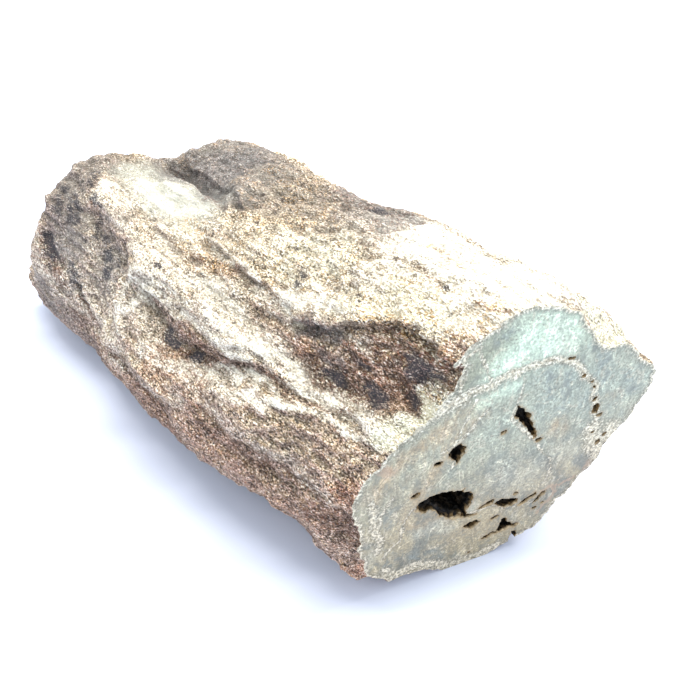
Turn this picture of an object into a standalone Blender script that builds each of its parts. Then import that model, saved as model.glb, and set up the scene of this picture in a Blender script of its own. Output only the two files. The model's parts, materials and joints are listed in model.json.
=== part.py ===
"""Petrified wood stump: a silicified end of a log, lying on its side as it rests on a shelf.

The stone is one piece. Its grain runs along X. One end (+X) is sawn flat across the
grain, a little askew, and polished, with a few open vugs. The other end (-X) and the
sides are the rough, broken outside of the log. Its 250 cm3 of porous chalcedony, at
about 2.45 g/cm3, weigh 613 g.

The log is drawn as outlines round one straight line, the pith, and eased from one
outline to the next. Angles round the pith are in degrees: 0 is +Y and 90 is up.
Units are metres in the result and millimetres in the tables, and +Z is up. The origin
is below the middle of the stone, on the surface that it lies on.
"""

import math

import bmesh
import bpy
import numpy as np
from mathutils import Matrix, Vector, noise

MM = 0.001

# ---------------------------------------------------------------- driving dimensions, mm
PITH_Y, PITH_Z = 2.2, 26.4  # the line that every outline is drawn around
SAW_SLOPE = 0.39  # the sawn face leans this far along X for each mm of Y
SLANT_REACH = 45.0  # behind the sawn face, the outlines turn square over this length
STATIONS = 53  # spaces between rings of vertices along the grain
AROUND = 72  # vertices in each ring
CAP_RINGS = 7  # rings that close the broken end
CAP_BULGE = 5.0  # how far the middle of the broken end stands out
CAP_LUMPS, CAP_LUMP_SIZE = 3.4, 14.0  # height and size of the lumps on the broken end
CAP_SOFTEN = 6  # neighbours on each side that the cap's inner rings are averaged over
CAP_RIM_RINGS = 1 / 3  # the rim's own shape fades out over this share of the cap's rings
CORNER_SOFTEN, CORNER_REACH = 2.6, 9  # degrees over which an outline's corners are softened
WORN_HEIGHT = 5.0  # the grain's relief fades out over this height above the shelf

# Relief of the grain: height or depth, length along the grain, size across it, and where
# its noise starts, so that the three don't line up.
LUMPS, LUMP_LENGTH, LUMP_ACROSS, LUMP_START = 1.1, 28.0, 10.0, 0.0
FIBRES, FIBRE_LENGTH, FIBRE_ACROSS, FIBRE_START = 0.6, 13.0, 3.3, 7.0
SPLITS, SPLIT_LENGTH, SPLIT_ACROSS, SPLIT_START = 1.2, 45.0, 8.0, 3.0
SPLIT_SHARPNESS = 0.12  # a split opens where its noise is this close to zero
LUMP_FADE, FIBRE_FADE, CAP_FADE = 0.9, 0.8, 0.8  # how much weaker each finer layer is
LUMP_LAYERS, FIBRE_LAYERS, CAP_LAYERS = 3, 2, 2  # layers of noise, each half the size
HALVING = 2.0

# Outlines across the grain: the station along the pith, then y, z points.
OUTLINES = [
    (-128, [(-21, 11), (-17.5, 16.5), (-13, 22), (-7.5, 27.5), (0, 29.5), (7.5, 28.5),
            (14.5, 22), (14.5, 11), (5.5, 3), (-6.5, -1), (-16.5, 4.5)]),
    (-114, [(-26, 13), (-23.5, 22), (-19.5, 31), (-15, 37), (-8, 40.5), (0, 40.3), (6.5, 39.8),
            (12, 37.5), (18.5, 34.5), (24, 22), (20, 10), (11, 1), (0, -1), (-14, -1),
            (-23, 4.5)]),
    (-97, [(-26, 12), (-23.5, 21), (-19.5, 30), (-15.5, 36), (-11, 40.5), (-5, 41.5),
           (1, 41), (5.5, 39.5), (10, 41.5), (16.5, 44.3), (23, 43.6), (29, 37),
           (32, 25.5), (28.5, 13), (18.5, 2), (4.5, -1), (-11, -0.8), (-22, 4)]),
    (-82, [(-27, 12), (-25, 21), (-21, 29.5), (-18, 34.5), (-14, 38), (-8, 39.5),
           (-2, 41.5), (4, 43), (10, 45.5), (17, 46.8), (23.5, 44.2), (29, 36.5),
           (32, 26), (28.5, 13), (18.5, 2), (5, -1), (-11, -0.8), (-22, 4)]),
    (-66, [(-28.5, 13), (-27.5, 21), (-23.5, 27), (-21.5, 30), (-20, 34.5), (-16.5, 38),
           (-11.5, 39), (-6, 42.5), (0, 46.3), (6, 48.6), (12, 49.8), (20, 46.8),
           (27, 39), (31.5, 28.5), (28.5, 14.5), (18.5, 2), (5.5, -1), (-10, -0.8),
           (-22, 4)]),
    (-48, [(-28, 13), (-27, 20.5), (-23, 26.5), (-20.8, 29.5), (-21, 33.5), (-18, 37),
           (-14.5, 37.5), (-11.5, 41), (-5, 47), (3.5, 50.3), (12, 51.3), (21, 46),
           (28, 38), (31.5, 28.5), (28.5, 15.5), (20, 3), (6, -1), (-10, -0.8),
           (-21.5, 4)]),
    (-33, [(-27, 13.5), (-25.7, 21), (-23.2, 27), (-21.3, 30.5), (-19.9, 33), (-17.8, 36.5),
           (-14.8, 35), (-12.8, 38.5), (-10.5, 44), (-5.5, 48), (2, 51.5), (12, 53.5),
           (21.5, 49), (29, 39.5), (31, 28.5), (27, 16.5), (18.5, 4), (6, -1),
           (-10, -0.8), (-20, 4.5)]),
    (-20, [(-26, 13), (-24.5, 21), (-22, 27), (-20.5, 32), (-17.5, 36), (-13, 34.2),
           (-11.2, 38), (-9, 46), (-5, 50.5), (0, 53.3), (6, 55), (13, 54.2), (22, 48.5),
           (29.5, 39.5), (30, 28), (24.5, 16), (17, 5), (5, -0.8), (-9, -0.8), (-21.5, 4)]),
    (-7, [(-23.5, 9), (-24, 16), (-23.8, 23), (-21.8, 29), (-18.5, 33.5), (-14.5, 36),
          (-11, 38.5), (-9, 42), (-8.2, 46.5), (-6.4, 51), (-2.8, 55.2), (1.5, 57),
          (6, 57.3), (11, 55.9), (16, 52.5), (21.5, 48), (27, 42), (30, 36), (30, 30),
          (27, 24), (23.5, 17), (18.5, 9), (12, 3), (4, -0.8), (-3, -0.8), (-9, 0.6),
          (-15, 0.8), (-20.4, 1.0), (-23.0, 4.4)]),
    (0, [(-12.6, 3.2), (-15.0, 1.6), (-17.2, 4.4), (-19, 10), (-20.3, 17), (-21.3, 24),
         (-20.6, 29.5), (-18.5, 34), (-14.5, 38), (-10.6, 41), (-7.9, 43.3), (-7.4, 46),
         (-7.2, 49), (-6.2, 51.4), (-4.7, 53), (-2.8, 54.6), (-0.9, 56.4), (2.2, 58.2),
         (5, 58.3), (7.6, 56.9), (9.8, 55), (12.1, 53.6), (13.6, 50.9), (14.4, 47.6), (16, 45.5),
         (18, 44.6), (20.5, 44.4), (23.9, 42), (27.3, 38), (28.8, 34.6), (27.3, 29), (24.5, 24),
         (22.3, 19), (19.5, 14), (16.5, 8.5), (12, 4.3), (6, 1.4), (0, -0.6), (-4.5, -0.3),
         (-8, 2.0), (-10.2, 3.2)]),
]

# The broken end: the station that it reaches at each angle.
BREAK = [(0, -101), (40, -95), (55, -97), (65, -106), (95, -115), (130, -118.5),
         (170, -122), (205, -128.5), (225, -128.5), (250, -119), (290, -110), (330, -103)]

# Relief drawn by hand: start and end as station and angle, half-width and rise.
STROKES = [
    ("shoulder ridge, back", (-108, 128), (-74, 147), 2.8, 1.2),
    ("shoulder ridge, front", (-74, 147), (-16, 152), 2.6, 1.2),
    ("groove under the shoulder, back", (-74, 161), (-64, 171), 2.0, -1.8),
    ("groove under the shoulder, middle", (-64, 171), (-50, 173), 2.0, -1.8),
    ("groove under the shoulder, front", (-50, 173), (-38, 164), 2.0, -1.5),
    ("groove under the shoulder, end", (-38, 164), (-12, 154), 1.8, -1.0),
    ("swelling under the groove", (-44, 178), (-20, 172), 3.0, 1.2),
    ("nose of the burr", (-73, 160), (-76, 192), 3.2, 2.0),
    ("hollow behind the burr", (-86, 160), (-88, 200), 6.5, -1.8),
    ("flank ridge", (-70, 186), (-20, 190), 4.5, 1.0),
    ("undercut behind the low lip", (-26, 212), (-10, 212), 5.0, -2.2),
    ("nub at the low corner", (-127, 214), (-125, 214), 3.6, 2.4),
    ("pocket above the nub", (-125, 196), (-121, 192), 3.4, -2.6),
    ("crease of the flaked top", (-108, 58), (-72, 86), 2.3, -1.7),
    ("split along the top", (-58, 74), (-34, 68), 1.8, -1.3),
    ("ledge along the top", (-40, 84), (-14, 80), 2.4, 0.9),
    ("hollow of the far side, back", (-92, 356), (-60, 348), 8.0, -3.0),
    ("hollow of the far side, front", (-60, 348), (-22, 330), 6.0, -2.4),
    ("rib of the far side", (-98, 22), (-30, 12), 4.0, 2.0),
    ("knot of the far side", (-46, 352), (-43, 350), 6.0, 2.4),
    ("low rib of the far side", (-100, 322), (-40, 318), 4.5, 1.8),
]

# Open vugs in the sawn face: y, z of the middle, half-length, half-height, turn in
# degrees, depth, and how pointed the left end is (0 is round, 1 is sharp).
VUGS = [
    ("main vug", -5.7, 18.9, 5.7, 4.1, -26, 9.0, 0.85),
    ("row of vugs, left", 1.3, 15.6, 1.6, 0.8, -12, 3.0, 0.6),
    ("row of vugs, middle", 5.2, 14.2, 2.1, 1.0, -14, 4.0, 0.3),
    ("row of vugs, right", 9.0, 12.8, 2.0, 1.1, 12, 4.0, 0.3),
    ("row of vugs, end", 12.4, 12.9, 1.0, 1.0, 40, 2.5, 0.0),
    ("slot below the main vug", -1.1, 11.4, 1.5, 0.9, -20, 3.0, 0.2),
    ("low vug", 5.6, 7.9, 1.8, 1.2, -15, 4.0, 0.5),
    ("low slot", 2.9, 6.0, 1.3, 0.6, 10, 2.5, 0.3),
    ("brown vug", -5.5, 31.6, 1.8, 1.7, 40, 2.2, 0.6),
    ("slanted vug, top", 4.8, 36.2, 1.7, 1.8, 60, 2.2, 0.4),
    ("slanted vug, foot", 6.9, 31.7, 2.3, 0.7, -68, 2.0, 0.5),
]
VUG_PROUD = 1.0  # how far a vug's cutter stands out of the face
VUG_SIDES = 14
VUG_RAGGED = 0.16  # how far its outline strays, as a share of its radius
VUG_BUMPS = 3.0  # how often it strays on the way round
VUG_MOUTH = 1.05  # size of a vug's cutter outside the face
VUG_LEVELS = [(0.15, 0.98), (0.6, 0.72), (0.9, 0.35)]  # share of the depth, and size there

STONE_COLOUR = (0.42, 0.33, 0.27, 1.0)
STONE_ROUGHNESS = 0.8


def ease(t):
    """A share from 0 to 1 that starts and ends level."""
    t = min(max(t, 0.0), 1.0)
    return t * t * (3 - 2 * t)


def slope_at(station):
    """How far the ring at a station leans along X for each mm of Y."""
    return SAW_SLOPE * ease((station + SLANT_REACH) / SLANT_REACH)


def outline_radius(points, angles):
    """The distance from the pith to an outline at each angle, with its corners softened."""
    y, z = np.array(points, float).T
    at = np.arctan2(z - PITH_Z, y - PITH_Y)
    radius = np.hypot(z - PITH_Z, y - PITH_Y)
    fine = np.radians(np.arange(360.0))
    drawn = np.interp(fine, at, radius, period=2 * math.pi)
    near = np.arange(-CORNER_REACH, CORNER_REACH + 1)
    weights = np.exp(-0.5 * (near / CORNER_SOFTEN) ** 2)
    soft = np.convolve(np.tile(drawn, 3), weights / weights.sum(), "same")[360:720]
    return np.interp(angles, fine, soft, period=2 * math.pi)


def make_body_radius(angles):
    """A function that gives the plain log's radii at a station, for a ring of angles."""
    stations = [station for station, _ in OUTLINES]
    radii = [outline_radius(points, angles) for _, points in OUTLINES]

    def body_radius(station, j):
        """The radius at a station and the ring's angle number j."""
        station = min(max(station, stations[0]), stations[-1])
        k = min(int(np.searchsorted(stations, station, "right")) - 1, len(stations) - 2)
        share = ease((station - stations[k]) / (stations[k + 1] - stations[k]))
        return float(radii[k][j] * (1 - share) + radii[k + 1][j] * share)

    return body_radius


def stroke_rise(station, angle, radius, start, end, width, rise):
    """The height that a stroke adds, falling off smoothly from the line along its middle."""
    turn = (math.degrees(angle) - start[1] + 180) % 360 - 180
    here = Vector((station - start[0], math.radians(turn) * radius))
    line = Vector((end[0] - start[0], math.radians(end[1] - start[1]) * radius))
    along = min(max(here.dot(line) / line.length_squared, 0.0), 1.0)
    gap = (here - along * line).length
    return rise * math.exp(-((gap / width) ** 2))


def stretched(x, y, z, length, across, start):
    """A place in a noise that is drawn out along the grain."""
    return Vector((x / length + start, y / across, z / across))


def grain(x, y, z):
    """Lumps, fibres and splits stretched along the grain."""
    lump_at = stretched(x, y, z, LUMP_LENGTH, LUMP_ACROSS, LUMP_START)
    fibre_at = stretched(x, y, z, FIBRE_LENGTH, FIBRE_ACROSS, FIBRE_START)
    split_at = stretched(x, y, z, SPLIT_LENGTH, SPLIT_ACROSS, SPLIT_START)
    lumps = noise.fractal(lump_at, LUMP_FADE, HALVING, LUMP_LAYERS)
    fibres = noise.fractal(fibre_at, FIBRE_FADE, HALVING, FIBRE_LAYERS)
    split = max(0.0, 1 - abs(noise.noise(split_at)) / SPLIT_SHARPNESS)
    return LUMPS * lumps + FIBRES * fibres - SPLITS * split


def wood_point(body_radius, station, angle, j):
    """A point on the outside of the log."""
    radius = body_radius(station, j)
    for _, start, end, width, rise in STROKES:
        radius += stroke_rise(station, angle, radius, start, end, width, rise)
    y = PITH_Y + radius * math.cos(angle)
    z = PITH_Z + radius * math.sin(angle)
    radius += grain(station, y, z) * ease(z / WORN_HEIGHT)
    y = PITH_Y + radius * math.cos(angle)
    z = PITH_Z + radius * math.sin(angle)
    return Vector((station + slope_at(station) * y, y, z))


def bridge(bm, outer, inner):
    """Joins two rings of vertices with four-sided faces."""
    for j in range(AROUND):
        k = (j + 1) % AROUND
        bm.faces.new((outer[j], outer[k], inner[k], inner[j]))


def make_log():
    """The log as a closed skin of rings: a flat sawn face and a rough broken end."""
    bm = bmesh.new()
    angles = [2 * math.pi * j / AROUND for j in range(AROUND)]
    body_radius = make_body_radius(angles)
    degrees, reach = np.array(BREAK, float).T
    ends = np.interp(np.degrees(angles), degrees, reach, period=360)
    rings = []
    for i in range(STATIONS + 1):
        ring = []
        for j, angle in enumerate(angles):
            station = float(ends[j]) * (1 - i / STATIONS)
            ring.append(bm.verts.new(wood_point(body_radius, station, angle, j)))
        rings.append(ring)
    for outer, inner in zip(rings, rings[1:]):
        bridge(bm, outer, inner)
    bm.faces.new(rings[-1])
    close_broken_end(bm, rings[0])
    bmesh.ops.recalc_face_normals(bm, faces=bm.faces)
    return bm


def close_broken_end(bm, rim):
    """Fills the broken end with rings that shrink to a lumpy, domed middle."""
    middle = sum((v.co for v in rim), Vector()) / AROUND
    near = range(-CAP_SOFTEN, CAP_SOFTEN + 1)
    soft = [sum((rim[(j + d) % AROUND].co for d in near), Vector()) / len(near)
            for j in range(AROUND)]
    outer = rim
    for i in range(1, CAP_RINGS):
        share = i / CAP_RINGS
        own_shape = ease(share / CAP_RIM_RINGS)
        inner = []
        for j in range(AROUND):
            p = rim[j].co.lerp(soft[j], own_shape).lerp(middle, share)
            p.x -= CAP_BULGE * math.sin(share * math.pi / 2)
            lump = noise.fractal(p / CAP_LUMP_SIZE, CAP_FADE, HALVING, CAP_LAYERS)
            p.x += CAP_LUMPS * lump * own_shape
            inner.append(bm.verts.new(p))
        bridge(bm, outer, inner)
        outer = inner
    tip = bm.verts.new(sum((v.co for v in outer), Vector()) / AROUND)
    for j in range(AROUND):
        bm.faces.new((outer[j], outer[(j + 1) % AROUND], tip))


def flatten_underside(bm):
    """Cuts off what lies below the shelf and closes the cut, so that the stone lies flat."""
    everything = bm.verts[:] + bm.edges[:] + bm.faces[:]
    cut = bmesh.ops.bisect_plane(
        bm, geom=everything, plane_co=(0, 0, 0), plane_no=(0, 0, -1), clear_outer=True
    )
    rim = [e for e in cut["geom_cut"] if isinstance(e, bmesh.types.BMEdge)]
    bmesh.ops.edgenet_fill(bm, edges=rim)


def stone_material():
    """One plain grey-brown for the whole stone."""
    material = bpy.data.materials.new("petrified_wood")
    material.use_nodes = True
    shader = material.node_tree.nodes["Principled BSDF"]
    shader.inputs["Base Color"].default_value = STONE_COLOUR
    shader.inputs["Roughness"].default_value = STONE_ROUGHNESS
    shader.inputs["Metallic"].default_value = 0.0
    return material


def vug_ring(length, height, turn, point, scale, seed):
    """The ragged outline of a vug, in the plane of the face: along it, and up."""
    ring = []
    for j in range(VUG_SIDES):
        angle = 2 * math.pi * j / VUG_SIDES
        place = (VUG_BUMPS * math.cos(angle), VUG_BUMPS * math.sin(angle), seed)
        stray = noise.noise(Vector(place))
        narrow = 1 - point * (1 - math.cos(angle)) / 2
        reach = scale * (1 + VUG_RAGGED * stray)
        along = length * reach * math.cos(angle)
        up = height * reach * narrow * math.sin(angle)
        ring.append((along * math.cos(turn) - up * math.sin(turn),
                     along * math.sin(turn) + up * math.cos(turn)))
    return ring


def vug_cutter(index, vug, shift):
    """A closed plug the shape of one vug, from just outside the face to its bottom."""
    name, y, z, length, height, turn, depth, point = vug
    out = Vector((1, -SAW_SLOPE, 0)).normalized()
    along = Vector((SAW_SLOPE, 1, 0)).normalized()
    middle = Vector((SAW_SLOPE * y, y, z)) + shift
    levels = [(-VUG_PROUD, VUG_MOUTH)]
    levels += [(share * depth, size) for share, size in VUG_LEVELS]
    bm = bmesh.new()
    rings = []
    for level, (down, scale) in enumerate(levels):
        seed = index + level / len(levels)
        ring = vug_ring(length, height, math.radians(turn), point, scale, seed)
        centre = middle - out * down
        rings.append([bm.verts.new((centre + along * a + Vector((0, 0, u))) * MM) for a, u in ring])
    for outer, inner in zip(rings, rings[1:]):
        for j in range(VUG_SIDES):
            k = (j + 1) % VUG_SIDES
            bm.faces.new((outer[j], outer[k], inner[k], inner[j]))
    bm.faces.new(rings[0])
    bm.faces.new(rings[-1])
    bmesh.ops.recalc_face_normals(bm, faces=bm.faces)
    mesh = bpy.data.meshes.new(name)
    bm.to_mesh(mesh)
    bm.free()
    cutter = bpy.data.objects.new(name, mesh)
    bpy.context.scene.collection.objects.link(cutter)
    cutter.hide_render = True
    cutter.display_type = "WIRE"
    return cutter


def main():
    for obj in list(bpy.data.objects):
        bpy.data.objects.remove(obj, do_unlink=True)
    bm = make_log()
    flatten_underside(bm)
    bmesh.ops.triangulate(bm, faces=bm.faces)
    low = Vector([min(v.co[i] for v in bm.verts) for i in range(3)])
    high = Vector([max(v.co[i] for v in bm.verts) for i in range(3)])
    shift = -(low + high) / 2
    shift.z = 0
    bmesh.ops.translate(bm, vec=shift, verts=bm.verts)
    bmesh.ops.transform(bm, matrix=Matrix.Scale(MM, 4), verts=bm.verts)
    mesh = bpy.data.meshes.new("stump")
    bm.to_mesh(mesh)
    bm.free()
    mesh.materials.append(stone_material())
    stump = bpy.data.objects.new("stump", mesh)
    bpy.context.scene.collection.objects.link(stump)
    for index, vug in enumerate(VUGS):
        cut = stump.modifiers.new(vug[0], "BOOLEAN")
        cut.operation = "DIFFERENCE"
        cut.solver = "EXACT"
        cut.object = vug_cutter(index, vug, shift)


main()
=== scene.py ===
# %% [markdown]
# # A petrified log end, dressed on its plain solid
#
# The object is the end of a log that turned to stone. It lies on its side. One end was
# sawn across the grain and polished, and shows pale blue-grey chalcedony with cream
# veins and open vugs. The rest is rough bark and broken wood, sandy to the touch.
#
# The imported solid has the right size and all the main forms. This lesson copies
# it, gives the copy a fine even mesh, carves splinters, ledges and grains into it, works
# out where it is hollow or raised, and paints it with procedural materials that use what
# was worked out. Nothing is moved or resized.

# %% Load the imported solid and keep its box
import json
import math

import bpy
import numpy as np
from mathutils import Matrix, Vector, noise
from mathutils.kdtree import KDTree


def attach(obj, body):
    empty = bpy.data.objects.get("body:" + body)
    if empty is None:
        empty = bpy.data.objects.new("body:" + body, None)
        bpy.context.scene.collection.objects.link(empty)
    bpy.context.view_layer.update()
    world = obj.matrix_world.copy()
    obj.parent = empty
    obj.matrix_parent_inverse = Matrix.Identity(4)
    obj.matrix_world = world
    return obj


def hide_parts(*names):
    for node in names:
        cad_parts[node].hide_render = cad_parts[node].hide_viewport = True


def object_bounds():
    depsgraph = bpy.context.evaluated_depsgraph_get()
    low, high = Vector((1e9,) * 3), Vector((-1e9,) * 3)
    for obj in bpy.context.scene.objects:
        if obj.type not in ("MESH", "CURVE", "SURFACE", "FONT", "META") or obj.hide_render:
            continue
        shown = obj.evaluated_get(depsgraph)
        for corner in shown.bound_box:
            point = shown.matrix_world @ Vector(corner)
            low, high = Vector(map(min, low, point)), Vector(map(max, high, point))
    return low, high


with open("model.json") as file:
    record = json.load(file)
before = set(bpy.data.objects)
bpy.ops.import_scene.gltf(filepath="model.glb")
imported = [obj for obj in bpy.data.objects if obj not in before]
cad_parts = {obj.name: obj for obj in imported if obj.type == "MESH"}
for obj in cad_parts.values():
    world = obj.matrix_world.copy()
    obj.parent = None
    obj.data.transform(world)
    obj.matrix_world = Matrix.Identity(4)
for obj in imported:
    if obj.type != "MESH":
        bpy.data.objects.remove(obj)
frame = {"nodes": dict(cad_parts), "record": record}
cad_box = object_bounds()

MM = 0.001
PITH_Z = 26.4  # height of the log's middle line, mm; it runs along X
mounts = {mount["name"]: mount for mount in frame["record"]["mounts"]}
SAW_POINT = np.array(mounts["sawn_face"]["pos_m"]) / MM
SAW_OUT = np.array(mounts["sawn_face"]["axis"])
print("sawn face through", SAW_POINT, "facing", SAW_OUT)

# %% [markdown]
# ## The camera
#
# The camera is set first, because every look at the work needs it. It stands twelve
# centimetres above the table, on the left of the sawn end, so that the face and the
# whole flank are seen together. A lens of 39 mm on a 36 mm sensor gives the
# strong perspective of a small thing seen from close by.

# %% Camera
CAMERA_AT = Vector((0.10378, -0.07508, 0.11985))
CAMERA_TO = Vector((-0.00017, 0.02287, 0.0))
LENS_MM = 39.29
camera_data = bpy.data.cameras.new("camera")
camera_data.lens = LENS_MM
camera_data.sensor_width = 36.0
camera_data.clip_start = 0.005
camera = bpy.data.objects.new("camera", camera_data)
bpy.context.scene.collection.objects.link(camera)
camera.location = CAMERA_AT
camera.rotation_euler = (CAMERA_TO - CAMERA_AT).to_track_quat("-Z", "Y").to_euler()
bpy.context.scene.camera = camera
print("camera", round((CAMERA_TO - CAMERA_AT).length / MM), "mm from the middle of the log")

# %% [markdown]
# ## Step 1: a copy of the solid, run on past the saw cut
#
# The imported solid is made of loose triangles, so its copy is merged first: points that
# lie on each other become one. Pairs of triangles are then joined to four-sided faces,
# because a subdivision smooths those far better.
#
# The sawn face is taken off for now, and the log is run on a few millimetres past it,
# as it was before the saw came. All the rough work is done on this longer log, and then
# it is sawn again. That gives the face the crisp ragged outline of a real cut.


# %% Two helpers for edit mode
def only(piece, mode="OBJECT"):
    """Makes one object the only selected and active one, in the mode that is asked for."""
    if bpy.context.object and bpy.context.object.mode != "OBJECT":
        bpy.ops.object.mode_set(mode="OBJECT")
    bpy.ops.object.select_all(action="DESELECT")
    piece.select_set(True)
    bpy.context.view_layer.objects.active = piece
    bpy.ops.object.mode_set(mode=mode)


def select_faces(piece, test):
    """Selects the faces whose middle (mm) and normal pass a test, and enters edit mode."""
    only(piece, "EDIT")
    bpy.ops.mesh.select_mode(type="FACE")
    bpy.ops.mesh.select_all(action="DESELECT")
    bpy.ops.object.mode_set(mode="OBJECT")
    for face in piece.data.polygons:
        face.select = bool(test(np.array(face.center) / MM, np.array(face.normal)))
    count = sum(face.select for face in piece.data.polygons)
    bpy.ops.object.mode_set(mode="EDIT")
    return count


SQUARE_ON = 0.99  # a face whose normal agrees this well lies in the plane
SAW_NEAR, SHELF_NEAR = 0.05, 0.02  # mm from the plane of the cut, and from the table


def on_saw(middle, normal):
    return abs((middle - SAW_POINT) @ SAW_OUT) < SAW_NEAR and normal @ SAW_OUT > SQUARE_ON


def on_shelf(middle, normal):
    return middle[2] < SHELF_NEAR and normal[2] < -SQUARE_ON


# %% Copy, merge, and run the log on past the cut
RUN_ON = 4.0  # mm
stone = bpy.data.objects.new("petrified_log", frame["nodes"]["stump"].data.copy())
bpy.context.scene.collection.objects.link(stone)
only(stone, "EDIT")
bpy.ops.mesh.select_all(action="SELECT")
bpy.ops.mesh.remove_doubles(threshold=1e-6)
bpy.ops.mesh.tris_convert_to_quads(
    face_threshold=math.radians(40), shape_threshold=math.radians(50)
)
print("sawn face taken off:", select_faces(stone, on_saw), "faces")
bpy.ops.mesh.delete(type="FACE")
bpy.ops.mesh.select_all(action="SELECT")
bpy.ops.mesh.separate(type="LOOSE")
bpy.ops.object.mode_set(mode="OBJECT")
parts = sorted(bpy.context.selected_objects, key=lambda part: len(part.data.vertices))
stone = parts.pop()
stone.name = "petrified_log"
for walls in parts:  # the plain walls of the vugs; finer ones are cut in step 5
    bpy.data.objects.remove(walls)
only(stone, "EDIT")
bpy.ops.mesh.select_mode(type="EDGE")
bpy.ops.mesh.select_all(action="DESELECT")
bpy.ops.mesh.select_non_manifold()
bpy.ops.mesh.extrude_region_move(
    TRANSFORM_OT_translate={"value": tuple(SAW_OUT * RUN_ON * MM)}
)
bpy.ops.mesh.edge_face_add()
bpy.ops.mesh.region_to_loop()
bpy.ops.transform.edge_crease(value=1.0)
print("shelf:", select_faces(stone, on_shelf), "faces")
bpy.ops.mesh.region_to_loop()
bpy.ops.transform.edge_crease(value=1.0)
bpy.ops.object.mode_set(mode="OBJECT")

# %% [markdown]
# ## Step 2: soften the facets
#
# The solid has facets of about two and a half millimetres. Two levels of subdivision
# round them into the worn lumps of old wood. The modifier is applied, because the
# carving below moves real points. The rim of the shelf has a full crease, so the
# smoothing leaves it alone.


# %% Subdivide
def apply_modifier(piece, kind, **settings):
    """Adds a modifier, sets it, and applies it."""
    only(piece)
    modifier = piece.modifiers.new(kind.lower(), kind)
    for name, value in settings.items():
        setattr(modifier, name, value)
    bpy.ops.object.modifier_apply(modifier=modifier.name)


apply_modifier(stone, "SUBSURF", levels=2, render_levels=2)
print("after subdivision:", len(stone.data.vertices), "points")

# %% [markdown]
# ## Step 3: carve the main splinters and ledges
#
# A hand carver would follow the grain with a chisel. Here each chisel stroke is a line
# drawn on the unrolled surface: a place along the log and an angle round it, where 0
# degrees is the far side, 90 is the top and 180 is the near side. A stroke lifts or
# lowers the points near it along their normals. A crest is sharp, a groove is round, and
# a ledge is high on one side and drops off on the other, like a torn layer of wood.
# Noise bends each line a little, so that none looks drawn.

# %% Points as arrays, and strokes on the unrolled surface
CREST, GROOVE, LEDGE = "crest", "groove", "ledge"


def read_points(piece):
    """All points in mm, and their normals, as arrays."""
    count = len(piece.data.vertices)
    points = np.empty(count * 3, np.float32)
    piece.data.vertices.foreach_get("co", points)
    normals = np.empty(count * 3, np.float32)
    piece.data.vertex_normals.foreach_get("vector", normals)
    return points.reshape(-1, 3).astype(float) / MM, normals.reshape(-1, 3).astype(float)


def write_points(piece, points):
    piece.data.vertices.foreach_set("co", (points * MM).astype(np.float32).ravel())
    piece.data.update()


def unroll(points):
    """The place along the log, the angle round it in degrees, and the distance from it."""
    y, z = points[:, 1], points[:, 2] - PITH_Z
    return points[:, 0], np.degrees(np.arctan2(z, y)) % 360, np.hypot(y, z)


def fractal(points, sizes, octaves=3, shift=0.0):
    """Smooth noise from about -1 to 1, with lumps of the given sizes along X, Y and Z."""
    scaled = points / np.array(sizes, float) + shift
    return np.array([noise.fractal(Vector(p), 0.8, 2.0, octaves) for p in scaled])


def stroke_gap(points, line, warp=0.0):
    """How far each point is from a drawn line, in mm, and on which side of it."""
    along, angle, radius = unroll(points)
    nearest = np.full(len(points), 1e9)
    side = np.zeros(len(points))
    for (x0, a0), (x1, a1) in zip(line, line[1:]):
        dx = along + warp - x0
        turn = (angle - a0 + 180) % 360 - 180
        da = np.radians(turn) * radius + warp
        span_x = x1 - x0
        span_a = np.radians(a1 - a0) * radius
        length = span_x**2 + span_a**2 + 1e-9
        share = np.clip((dx * span_x + da * span_a) / length, 0, 1)
        gap_x, gap_a = dx - share * span_x, da - share * span_a
        gap = np.hypot(gap_x, gap_a)
        closer = gap < nearest
        nearest = np.where(closer, gap, nearest)
        side = np.where(closer, np.sign(gap_a * span_x - gap_x * span_a), side)
    return nearest, side


def stroke_profile(kind, gap, side, width, height):
    """The height of a stroke at a distance from its line."""
    if kind == CREST:
        return height * np.exp(-gap / width)
    if kind == GROOVE:
        return -height * np.exp(-((gap / width) ** 2))
    above = height * np.exp(-gap / (2.5 * width))
    below = -0.8 * height * np.exp(-gap / width)
    return np.where(side > 0, below, above)


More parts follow.
